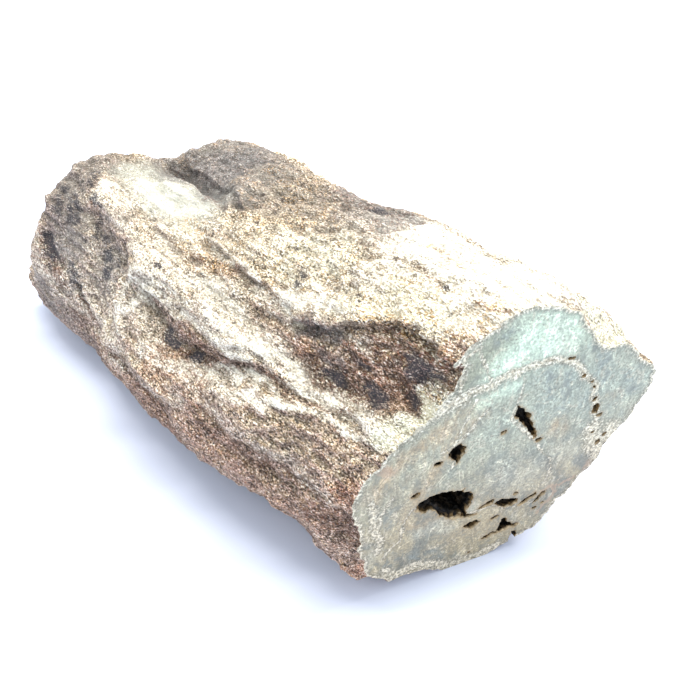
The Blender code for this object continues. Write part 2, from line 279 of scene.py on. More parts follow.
# %% The strokes themselves: kind, line of (mm along, degrees round), width, height
STROKES = [
    ("crest of the shoulder", CREST,
     [(-39, 135), (-24, 143), (-8, 150), (7, 150), (20, 148), (32, 150), (52, 149)], 1.6, 0.8),
    ("splinter below it", LEDGE, [(-12, 154), (-2, 157), (10, 156), (24, 153)], 0.6, 0.4),
    ("second splinter below it", LEDGE, [(-8, 158), (2, 161), (14, 159), (28, 155)], 0.5, 0.35),
    ("groove under the shoulder", GROOVE,
     [(-11, 163), (-4, 172), (6, 174), (12, 168), (24, 161), (34, 157), (44, 153)], 0.9, 0.7),
    ("strip below the groove", CREST,
     [(13, 174), (20, 170), (27, 165), (35, 161), (44, 158)], 0.6, 0.5),
    ("second strip", CREST, [(6, 179), (20, 175), (34, 167), (50, 164)], 0.6, 0.4),
    ("nose of the burr", CREST,
     [(-13, 155), (-16, 163), (-17, 168), (-15, 175), (-12, 182), (-6, 186), (3, 187)], 1.1, 1.5),
    ("wrinkle in the burr", CREST, [(-8, 157), (-12, 163), (-12, 170), (-8, 177)], 0.7, 0.6),
    ("hollow behind the burr", GROOVE, [(-23, 156), (-22, 170), (-19, 180)], 2.2, 1),
    ("upper step", LEDGE, [(-6, 119), (7, 124), (16, 124), (26, 128)], 1.4, 1),
    ("torn ledge by the face", LEDGE,
     [(26, 128), (34, 120), (40, 114), (48, 109), (56, 110)], 1, 1.8),
    ("second ledge by the face", LEDGE, [(28, 141), (37, 133), (45, 126), (52, 118)], 0.9, 0.6),
    ("splinter above the shoulder", LEDGE, [(-20, 131), (-4, 138), (14, 141), (26, 146)], 0.9, 0.4),
    ("foot of the torn ledge", GROOVE,
     [(31, 149), (38, 147), (46, 137), (52, 122)], 1.6, 0.6),
    ("crease of the flaked top", GROOVE,
     [(-42, 66), (-35, 70), (-27, 79), (-15, 90), (-8, 100)], 0.8, 1.1),
    ("edge above the crease", LEDGE,
     [(-40, 60), (-26, 73), (-14, 83), (-4, 95)], 0.9, 0.7),
    ("filling of the notch", CREST, [(-50, 66), (-43, 68)], 3, 0.8),
    ("layer in the crease", LEDGE, [(-44, 76), (-34, 82), (-22, 92), (-12, 101)], 0.5, 0.4),
    ("ridge left of the facet", CREST, [(-52, 112), (-46, 122), (-38, 130)], 1.6, 1),
    ("split on top", GROOVE, [(37, 89), (41, 91), (46, 93)], 0.5, 0.7),
    ("split on top, front", GROOVE, [(52, 94), (56, 92), (59, 90)], 0.4, 0.6),
    ("split on top, far", GROOVE, [(38, 82), (43, 81), (48, 83)], 0.5, 0.5),
    ("low ridge", CREST, [(-4, 181), (12, 181), (28, 180), (46, 181)], 1.6, 0.5),
    ("groove under the low ridge", GROOVE, [(0, 190), (20, 189), (38, 191)], 1.6, 0.6),
    ("bump of the flank", CREST, [(-32, 190), (-26, 191), (-20, 187), (-14, 184)], 1.4, 0.9),
    ("groove of the flank", GROOVE,
     [(-37, 188), (-31, 197), (-22, 197), (-13, 192), (-5, 196), (4, 200)], 1.2, 1.2),
    ("pocket of the broken end", GROOVE, [(-52, 174), (-47, 182)], 2.2, 1.8),
    ("tooth of the broken end", CREST, [(-54, 155), (-53, 159)], 1, 1.3),
    ("second tooth", CREST, [(-55, 170), (-54, 173)], 0.9, 1.2),
    ("third tooth", CREST, [(-58, 186), (-56, 190)], 1.2, 1.4),
    ("fourth tooth", CREST, [(-54, 128), (-53, 133)], 0.9, 1),
    ("toe of the lip", CREST, [(46.8, 217), (47.2, 220), (48.6, 222.5)], 2.2, 3),
    ("undercut behind the toe", GROOVE, [(30, 220), (36, 223), (41.5, 225), (43.8, 223)], 3.2, 3),
    ("crease above the toe", GROOVE, [(45, 211), (50, 214), (55, 216)], 0.7, 0.7),
    ("far ledge", LEDGE, [(-30, 30), (-5, 24), (20, 26)], 1.4, 1.1),
    ("far groove", GROOVE, [(-36, 350), (-10, 345), (22, 350)], 1.4, 1.2),
    ("far crest", CREST, [(-25, 8), (0, 4), (34, 6)], 1.5, 0.9),
    ("low far ledge", LEDGE, [(-38, 318), (0, 322), (30, 316)], 1.4, 1),
]
print("strokes:", len(STROKES))

# %% Carve the strokes and the layers of the wood
LAYER_STEP = 0.7  # height of one torn layer, mm
LAYER_RISE, LAYER_SIZE = 1.8, (28, 6, 6)  # how far the layers' field goes up and down, mm
LAYER_EDGE = 0.24  # share of a layer that is its sloping edge
STROKE_BEND, STROKE_BEND_SIZE = 1.2, (9, 5, 5)  # mm that noise bends a stroke
FACING_DOWN = -0.7  # the normal's height, below which a low point is on the shelf


def ease(t):
    t = np.clip(t, 0, 1)
    return t * t * (3 - 2 * t)


def torn_layers(points):
    """Steps along the contours of a stretched field, as where layers of wood broke off."""
    field = LAYER_RISE * fractal(points, LAYER_SIZE, 4, 5.0) / LAYER_STEP
    whole = np.floor(field)
    edge = (field - whole - (1 - LAYER_EDGE) / 2) / LAYER_EDGE
    return LAYER_STEP * (whole + ease(edge) - field)


def push(points, normals, height):
    """Moves points along their normals. The shelf stays flat, and nothing sinks below it."""
    shelf = (points[:, 2] < SHELF_NEAR) & (normals[:, 2] < FACING_DOWN)
    moved = points + normals * height[:, None]
    moved[shelf] = points[shelf]
    moved[:, 2] = np.maximum(moved[:, 2], 0)
    return moved


points, normals = read_points(stone)
bend = STROKE_BEND * fractal(points, STROKE_BEND_SIZE, 2, 1.0)
height = torn_layers(points)
for name, kind, line, width, rise in STROKES:
    gap, side = stroke_gap(points, line, bend)
    height += stroke_profile(kind, gap, side, width, rise)
write_points(stone, push(points, normals, height))
print("strokes move points by", height.min().round(2), "to", height.max().round(2), "mm")

# %% [markdown]
# ## Step 4: an even skin, then fibres and grains
#
# Carving stretches some faces and squeezes others, and steep ledges fold them over. A
# voxel remesh wraps the shape in even squares, the way clay takes up a cast. It is done
# twice: with squares of just over half a millimetre before the grains are carved, and
# with squares of two thirds after, which still hold the grains and keep the piece under
# two hundred thousand triangles. A remesh rounds the rim of the shelf by half a square,
# so points close to the table are put back on it.
#
# Close up, the bark is a mat of fibres with sand between them. Three fields are added:
# fibres stretched along the grain, small pits, and rounded grains. They go up about as
# much as down, so the stone keeps its size. The white flake on top is worn smooth, so it
# gets only a quarter of them.

# %% Remesh
FIRST_VOXEL, LAST_VOXEL = 0.55, 0.66  # mm
SNAP = 0.4  # a point lower than this, in mm, that faces down is put on the table
RESTING = -0.75  # the height of such a point's normal


def even_skin(piece, voxel):
    """Wraps a piece in even squares, and puts its shelf back on the table."""
    only(piece)
    piece.data.remesh_voxel_size = voxel * MM
    bpy.ops.object.voxel_remesh()
    points, normals = read_points(piece)
    resting = (points[:, 2] < SNAP) & (normals[:, 2] < RESTING)
    points[resting, 2] = 0
    write_points(piece, points)
    print("even skin:", len(points), "points;", int(resting.sum()), "on the shelf")


even_skin(stone, FIRST_VOXEL)

# %% Carve fibres, pits and grains
FIBRE, FIBRE_SIZE = 0.38, (12, 2.0, 2.0)  # height, and size along X, Y and Z, mm
PIT, PIT_SIZE, PIT_FROM = 0.6, (3.0, 1.5, 1.5), 0.25  # a pit starts where noise passes 0.25
GRAIN, GRAIN_SIZE = 0.3, (1.5, 1.3, 1.3)
SMOOTH_FACET = ([(-42, 100), (-28, 104), (-14, 104)], 6.5, 0.75)  # line, width, share


def smoothness(points):
    """How much of the fine relief is worn off: most of it on the flaked facet."""
    line, width, share = SMOOTH_FACET
    gap, _ = stroke_gap(points, line)
    return share * np.exp(-((gap / width) ** 4))


points, normals = read_points(stone)
fibre = 1 - 2 * np.abs(fractal(points, FIBRE_SIZE, 2, 2.0))
pits = -np.clip(fractal(points, PIT_SIZE, 2, 8.0) - PIT_FROM, 0, 1)
grains = fractal(points, GRAIN_SIZE, 1, 4.0)
height = FIBRE * (fibre - fibre.mean()) + PIT * (pits - pits.mean()) + GRAIN * grains
height *= 1 - smoothness(points)
write_points(stone, push(points, normals, height))
print("fibres and grains:", height.min().round(2), "to", height.max().round(2), "mm")
even_skin(stone, LAST_VOXEL)

# %% [markdown]
# ## Step 5: saw the log, and open the vugs
#
# The blade is a block with a fine grid on the side that makes the cut. A Boolean
# leaves that grid on the new face, so the face has even small squares to carry its
# veins. The same is done for the vugs: each is drawn as an outline on the face, made a
# closed plug that narrows inwards, and roughened, and the plugs are then taken out of
# the stone. Material slots tell the three kinds of surface apart from here on.

# %% Three slots: bark, sawn face, vug walls
BARK, FACE, VUG = 0, 1, 2
stone.data.materials.clear()
for name in ("sandy_bark", "sawn_chalcedony", "dark_vug"):
    stone.data.materials.append(bpy.data.materials.new(name))
print("slots:", [material.name for material in stone.data.materials])


def face_outwards(piece):
    """Turns all the faces of a closed piece outwards."""
    only(piece, "EDIT")
    bpy.ops.mesh.select_all(action="SELECT")
    bpy.ops.mesh.normals_make_consistent(inside=False)
    bpy.ops.object.mode_set(mode="OBJECT")


def cut_away(cutter, slot):
    """Takes one object out of the stone; the new surface gets the slot."""
    for material in stone.data.materials:
        cutter.data.materials.append(material)
    for face in cutter.data.polygons:
        face.material_index = slot
    apply_modifier(stone, "BOOLEAN", operation="DIFFERENCE", solver="MANIFOLD", object=cutter)
    bpy.data.objects.remove(cutter)


# %% The blade
GRID = 0.42  # mm
BLADE_SIZE, BLADE_THICK = 70.0, 12.0  # mm
TURN = Vector(SAW_OUT).to_track_quat("Z", "Y").to_euler()
only(stone)
bpy.ops.object.select_all(action="DESELECT")
middle = SAW_POINT * (1, 1, 0) + (0, 0, PITH_Z)
bpy.ops.mesh.primitive_grid_add(
    x_subdivisions=round(BLADE_SIZE / GRID), y_subdivisions=round(BLADE_SIZE / GRID),
    size=BLADE_SIZE * MM, location=tuple(middle * MM), rotation=TURN)
blade = bpy.context.object
only(blade)
bpy.ops.object.transform_apply(location=True, rotation=True, scale=True)
only(blade, "EDIT")
bpy.ops.mesh.select_all(action="SELECT")
bpy.ops.mesh.extrude_region_move(
    TRANSFORM_OT_translate={"value": tuple(SAW_OUT * BLADE_THICK * MM)})
face_outwards(blade)
cut_away(blade, FACE)
print("sawn:", len(stone.data.vertices), "points")

# %% Outlines of the vugs: depth, then points as (y, z) in mm on the face
VUGS = {
    "main hollow": (8, [
        (-13.1, 20.6), (-12.8, 21.4), (-12, 22), (-10.7, 22.4), (-9.2, 22.3), (-7.5, 21.8),
        (-6.4, 21.2), (-5.7, 21.7), (-5.8, 20.9), (-4.7, 20.2), (-4.1, 19.1), (-4.4, 17.5),
        (-4.9, 16.1), (-5, 14.9), (-5.7, 15.6), (-7.2, 15.9), (-8.9, 17.4), (-9.9, 18.9),
        (-11.1, 20.3), (-11.9, 19.5), (-12.6, 20.2)]),
    "lit lip of the hollow": (1.3, [
        (-13.5, 20.3), (-12.8, 21), (-11.2, 21), (-9, 18.8), (-6.4, 16.4), (-5.9, 14.9),
        (-7.4, 14.8), (-9.4, 16.7), (-10.4, 18.3), (-11.3, 19.3), (-11.9, 18.6), (-12.9, 19.6)]),
    "crack from the hollow": (1.4, [
        (-5.4, 15), (-4.7, 14.6), (-2.9, 14), (-2.6, 13.5), (-4.4, 13.7), (-5.2, 14)]),
    "low vug": (3, [
        (-4.7, 11.1), (-4, 11.7), (-2.9, 11.9), (-1.8, 11.3), (-1.9, 10.6), (-3, 10.1),
        (-4.1, 10.4)]),
    "first wedge": (2.4, [
        (-2.2, 15), (-1.2, 15.7), (-0.3, 16.3), (0.3, 16.1), (0.2, 15.2), (-0.6, 15),
        (-1.4, 14.8)]),
    "second wedge": (3, [
        (0.5, 14.8), (1.6, 15.2), (2.2, 15.4), (2.9, 14.7), (4, 14.6), (4.9, 13.9),
        (5, 13), (3.9, 12.8), (2.8, 12.9), (1.8, 13.7), (1.1, 14.2)]),
    "third wedge": (2.4, [
        (5.4, 12.1), (6.2, 13), (7.2, 13.5), (8.3, 14), (8.5, 13.2), (7.6, 12.6),
        (6.7, 12), (6, 11.8)]),
    "fourth wedge": (1.8, [
        (8.5, 11.2), (8.8, 12.2), (9.6, 13.3), (10.2, 13.5), (10.1, 12.8), (9.4, 11.9),
        (9, 11.1)]),
    "forked vug": (2.6, [
        (2.1, 6.8), (2.6, 8), (2.7, 9.2), (3.4, 9.4), (3.9, 8.5), (4.4, 7.5), (5, 6.9),
        (6.1, 6.6), (5.6, 5.9), (4.6, 6.1), (3.6, 6), (2.9, 5.9)]),
    "thin vug": (1.4, [
        (-0.6, 5.7), (0.3, 6.2), (1.1, 6.4), (2.3, 6.1), (2.1, 5.6), (1.2, 5.6), (0.3, 5.2),
        (-0.3, 5.3)]),
    "crack in the edge": (1.6, [
        (5.2, 4.6), (6, 4.3), (6.3, 3), (5.9, 1.2), (5.3, -1), (4.9, 1.4), (5.1, 3.2)]),
    "brown vug": (2, [
        (-9.1, 31.8), (-8.4, 32.5), (-7.3, 33), (-6.4, 32), (-6.5, 30.9), (-7.1, 29.6),
        (-7.6, 28.9), (-8.1, 30.2)]),
    "slanted vug": (1.8, [
        (1.3, 35.6), (1.8, 37.5), (2.6, 36.8), (3.3, 35.8), (4.1, 34.9), (4, 34),
        (4.7, 33), (4.9, 32.1), (5.5, 31), (5.9, 29.9), (5.4, 29.3), (4.9, 30.4),
        (4.2, 31.6), (3.7, 32.6), (3, 33.3), (2.2, 34.5)]),
}
PITS = [  # y, z, half-length, half-height, turn in degrees, depth
    (1.2, 10.7, 0.75, 0.5, 25, 1.8), (-10.6, 30.1, 0.75, 0.55, 20, 1.2),
    (6.6, 28.2, 0.6, 0.45, 0, 1.2), (-14, 24.1, 0.65, 0.55, 0, 1.4),
    (4.4, 15.7, 0.4, 0.35, 0, 0.9), (-0.2, 32.8, 0.45, 0.4, 30, 0.8),
    (9.1, 44.9, 0.65, 0.3, -20, 0.7), (5.6, 45.7, 0.5, 0.22, 0, 0.5),
    (12.3, 40.3, 0.35, 0.3, 0, 0.6), (14.1, 38.4, 0.4, 0.3, 20, 0.6),
    (14.9, 36.9, 0.25, 0.35, 0, 0.5), (15.5, 34.1, 0.3, 0.5, 10, 0.6),
    (16.2, 31.6, 0.6, 1.3, 10, 0.9), (17.3, 29.8, 0.5, 0.3, 0, 0.6),
    (17, 25.7, 0.4, 0.4, 0, 0.9), (8.9, 9.6, 0.4, 0.3, 20, 0.9), (10.3, 10.4, 0.35, 0.3, 0, 0.8),
    (-2.9, 2.8, 0.3, 0.4, 0, 0.8), (19.5, 24.2, 0.45, 0.4, 30, 0.8), (18.6, 22.6, 0.4, 0.5, 0, 0.7),
]
FACE_ALONG = np.array([-SAW_OUT[1], SAW_OUT[0], 0])  # level, in the plane of the cut
print(len(VUGS), "vugs and", len(PITS), "pits")


def on_face(y, z):
    """The point of the sawn face that has a given y and z, in mm."""
    away = (y - SAW_POINT[1]) / FACE_ALONG[1]
    return SAW_POINT * (1, 1, 0) + FACE_ALONG * away + (0, 0, z)


OVAL_SIDES = 10


def oval(y, z, length, height, turn):
    """The outline of a small pit."""
    outline = []
    for step in range(OVAL_SIDES):
        angle = 2 * math.pi * step / OVAL_SIDES
        a, b = length * math.cos(angle), height * math.sin(angle)
        c, s = math.cos(math.radians(turn)), math.sin(math.radians(turn))
        outline.append((y + a * c - b * s, z + a * s + b * c))
    return outline


# %% Make the plugs, roughen them and take them out
PLUG_LEVELS = ((-1.5, 1.12), (0.0, 1.12), (0.45, 1.0), (0.8, 0.75), (1.0, 0.3))  # depth, size
PLUG_VOXEL = 0.2  # mm
PLUG_ROUGH, PLUG_ROUGH_SIZE = 0.34, (0.9, 0.9, 0.9)  # mm
PLUG_KEPT = 0.3  # share of the plugs' faces that stay


def plug(depth, outline):
    """A closed plug: rings of the outline, smaller and smaller towards its bottom."""
    spots = np.array([on_face(y, z) for y, z in outline])
    centre = spots.mean(axis=0)
    points, faces = [], []
    for level, size in PLUG_LEVELS:
        down = level * (depth if level > 0 else 1.0)
        points += list((centre + (spots - centre) * size - SAW_OUT * down) * MM)
    around = len(outline)
    for ring in range(len(PLUG_LEVELS) - 1):
        for step in range(around):
            a, b = ring * around + step, ring * around + (step + 1) % around
            faces.append((a, b, b + around, a + around))
    faces.append(tuple(range(around)))
    faces.append(tuple(range(len(points) - around, len(points))))
    mesh = bpy.data.meshes.new("plug")
    mesh.from_pydata([tuple(p) for p in points], [], faces)
    piece = bpy.data.objects.new("plug", mesh)
    bpy.context.scene.collection.objects.link(piece)
    face_outwards(piece)
    return piece


plugs = [plug(depth, outline) for depth, outline in VUGS.values()]
plugs += [plug(pit[5], oval(*pit[:5])) for pit in PITS]
bpy.ops.object.select_all(action="DESELECT")
for piece in plugs:
    piece.select_set(True)
bpy.context.view_layer.objects.active = plugs[0]
bpy.ops.object.join()
cutter = bpy.context.object
cutter.data.remesh_voxel_size = PLUG_VOXEL * MM
bpy.ops.object.voxel_remesh()
points, normals = read_points(cutter)
rough = fractal(points, PLUG_ROUGH_SIZE, 3, 21.0)
write_points(cutter, points + normals * (PLUG_ROUGH * rough)[:, None])
apply_modifier(cutter, "DECIMATE", ratio=PLUG_KEPT)
print("plugs:", len(plugs), "with", len(cutter.data.polygons), "faces")
cut_away(cutter, VUG)
print("opened:", len(stone.data.vertices), "points")

# %% [markdown]
# ## Step 6: veins on the face
#
# Veins of soft grainy silica cross the polish and stand a hair below it. Each is a line
# with a width. Points of the face that lie on one are pressed in, and the distance is
# kept for the materials: 0 in the middle of a vein, 1 at its edge.

# %% Veins: half-width in mm, then points as (y, z) in mm
VEINS = {
    "arch": (0.75, [
        (-9, 43.6), (-6.4, 43.4), (-3.9, 43.6), (-1.9, 44.6), (-0.2, 45.4), (1.6, 45.4),
        (3.4, 45.7), (5.6, 45.7), (8.2, 45), (10, 43.6), (11.3, 41.9), (12.3, 40.2),
        (14.1, 38.6), (14.9, 36.8), (15.6, 34), (16.3, 31.6), (17, 29.4), (16.9, 25.8),
        (17, 22.9), (17.4, 20.6)]),
    "white patch of the arch": (1, [(-6.5, 43.6), (-3.5, 43.9), (-0.8, 45.3), (0.4, 44.6)]),
    "short vein": (0.3, [(-6, 50.9), (-5.3, 48.9), (-4.7, 47), (-4.1, 45), (-3.9, 43.6)]),
    "rind on the left": (0.7, [
        (-21.2, 25.4), (-20.6, 22.5), (-20.8, 18.9), (-19.8, 16), (-19.6, 12)]),
    "white line": (0.3, [(-17.6, 25.3), (-19.3, 22.9), (-19.7, 20.4), (-19.8, 17.9)]),
    "rind below": (1, [
        (-18.4, 6), (-17.2, 4), (-15.3, 3.9), (-13.4, 5), (-10.6, 3.4), (-8, 1.8), (-5, 1),
        (-1.4, 1), (3, 2)]),
    "rind above": (1.5, [
        (-20.4, 35.4), (-17.2, 38), (-13.6, 40.6), (-10, 42.4), (-7.6, 43)]),
    "lip of the slanted vug": (0.4, [(1.1, 35.1), (2.6, 32.9), (3.8, 31.5), (5.7, 28.7)]),
    "chipped edge": (1.9, [(16.9, 27), (17.6, 23.8), (18.6, 21.4)]),
    "chipped edge, low": (1.6, [(20.6, 25.6), (21.4, 24.2), (19.6, 21.6), (19.4, 18.6)]),
    "crack by the brown vug": (0.24, [(-5.6, 41.9), (-6.7, 38.8), (-8.2, 32.9), (-8.2, 27.6)]),
    "crack beside it": (0.24, [(-3.3, 39.6), (-5.1, 36.9), (-7, 34), (-10.1, 32.4)]),
    "crack of the inner lobe": (0.2, [(1.7, 43.6), (1.7, 40.6), (0.9, 36.7), (0.8, 35)]),
    "crack to the row": (0.2, [(6, 27.4), (9.6, 22.8), (10.4, 19.6), (9.8, 16.4)]),
    "crack low on the left": (0.22, [(-19.2, 9.8), (-16, 13.7), (-15.4, 18.7), (-13.1, 21.4)]),
    "rim of the left lobe": (0.35, [(-8.4, 44.4), (-9.1, 48.7), (-8.3, 51), (-6.3, 51.8)]),
    "line by the wedges": (0.25, [
        (-3.6, 14.2), (0.4, 14.3), (2.6, 12.7), (5.4, 11.8), (8.6, 11)]),
}
PINK_VEINS = {
    "fork": (0.4, [(9.8, 13.6), (11.4, 14.4), (13.2, 14), (15.6, 15)]),
    "fork, down": (0.4, [(11.6, 14.4), (12.4, 12.4), (11.4, 10.2), (9.8, 8.2)]),
    "spot by the edge": (1.2, [(-19.6, 32.8), (-18.6, 31.4)]),
    "edge low on the right": (0.8, [(16.3, 12.6), (18.4, 17.6), (19.4, 20.6)]),
}


def flat_gap(spots, line):
    """The distance of y, z spots from a line of y, z points."""
    nearest = np.full(len(spots), 1e9)
    for a, b in zip(np.array(line[:-1], float), np.array(line[1:], float)):
        share = np.clip((spots - a) @ (b - a) / ((b - a) @ (b - a)), 0, 1)
        nearest = np.minimum(nearest, np.linalg.norm(spots - a - share[:, None] * (b - a), axis=1))
    return nearest


WOBBLE, WOBBLE_SIZE = 0.5, (2.6, 2.6, 2.6)  # mm that noise bends a vein


def vein_gap(points, veins):
    """The distance of points on the face from the nearest vein, in half-widths."""
    spots = points[:, 1:] + WOBBLE * np.column_stack([
        fractal(points, WOBBLE_SIZE, 3, 11.0), fractal(points, WOBBLE_SIZE, 3, 17.0)])
    return np.min([flat_gap(spots, line) / width for width, line in veins.values()], axis=0)


# %% Sort the points by the slots of their faces, and press the veins in
VEIN_DEPTH, VEIN_GRIT = 0.1, (0.9, 0.9, 0.9)  # mm, and the size of its unevenness
kinds = np.empty(len(stone.data.polygons), np.int32)
stone.data.polygons.foreach_get("material_index", kinds)


def points_of(slot):
    """A mask of the points that belong to faces with a slot."""
    mask = np.zeros(len(stone.data.vertices), bool)
    for index in np.flatnonzero(kinds == slot):
        mask[list(stone.data.polygons[index].vertices)] = True
    return mask


points, normals = read_points(stone)
bark_point, face_point, vug_point = points_of(BARK), points_of(FACE), points_of(VUG)
inner = face_point & ~bark_point & ~vug_point
vein = vein_gap(points, VEINS)
sink = VEIN_DEPTH * np.exp(-(vein**2)) * (1 + fractal(points, VEIN_GRIT, 2, 3.0))
points[inner] -= np.outer(sink[inner], SAW_OUT)
low, high = (np.array(corner) / MM for corner in cad_box)
write_points(stone, np.clip(points, low, high))
triangles = sum(len(face.vertices) - 2 for face in stone.data.polygons)
print("bark, face and vug faces:", [int((kinds == k).sum()) for k in (BARK, FACE, VUG)])
print("veins pressed in;", triangles, "triangles")

# %% [markdown]
# ## Step 7: what the paint needs to know
#
# Some colours come from the stone's history: ridges are rubbed pale and iron stains run in
# patches. Others are painted light and shade: hollows are painted darker as shade, ridges
# lighter as light, and faces that point up lighter as the lit top. Each of these is worked
# out once for every point and kept on the mesh as a named number, an attribute, which the
# materials can read. Hollows are found by letting the shape relax towards its neighbours'
# average and asking on which side of the relaxed skin each point lies.

# %% Hollows and ridges at two sizes
FINE_ROUNDS, WIDE_ROUNDS = 10, 110  # rounds of averaging
FINE_RANGE, WIDE_RANGE = 0.35, 1.6  # mm that count as fully hollow


def relax(piece, points, rounds):
    """Each round puts every point on the average of its neighbours."""
    ends = np.empty(len(piece.data.edges) * 2, np.int32)
    piece.data.edges.foreach_get("vertices", ends)
    a, b = ends.reshape(-1, 2).T
    count = np.bincount(a, minlength=len(points)) + np.bincount(b, minlength=len(points))
    for _ in range(rounds):
        total = np.zeros_like(points)
        for axis in range(3):
            total[:, axis] = np.bincount(a, points[b, axis], len(points))
            total[:, axis] += np.bincount(b, points[a, axis], len(points))
        points = 0.5 * points + 0.5 * total / count[:, None]
    return points


def keep(piece, name, values):
    """Stores one number a point on the mesh, for the materials to read."""
    layer = piece.data.attributes.new(name, "FLOAT", "POINT")
    layer.data.foreach_set("value", values.astype(np.float32))
    print(f"{name}: {values.min():.2f} to {values.max():.2f}, mean {values.mean():.2f}")


points, normals = read_points(stone)
# The height of each normal: the bark uses it to paint faces that point up lighter, as painted light, and
# the vugs to paint their lit lip.
keep(stone, "upward", normals[:, 2])
keep(stone, "worn", smoothness(points))
# hollow and deep: the bark is painted darker in them as painted shade, and lighter on raised places as
# painted light.
for name, rounds, full in (("hollow", FINE_ROUNDS, FINE_RANGE), ("deep", WIDE_ROUNDS, WIDE_RANGE)):
    away = np.einsum("ij,ij->i", relax(stone, points, rounds) - points, normals)
    keep(stone, name, np.clip(away / full, -1, 1))
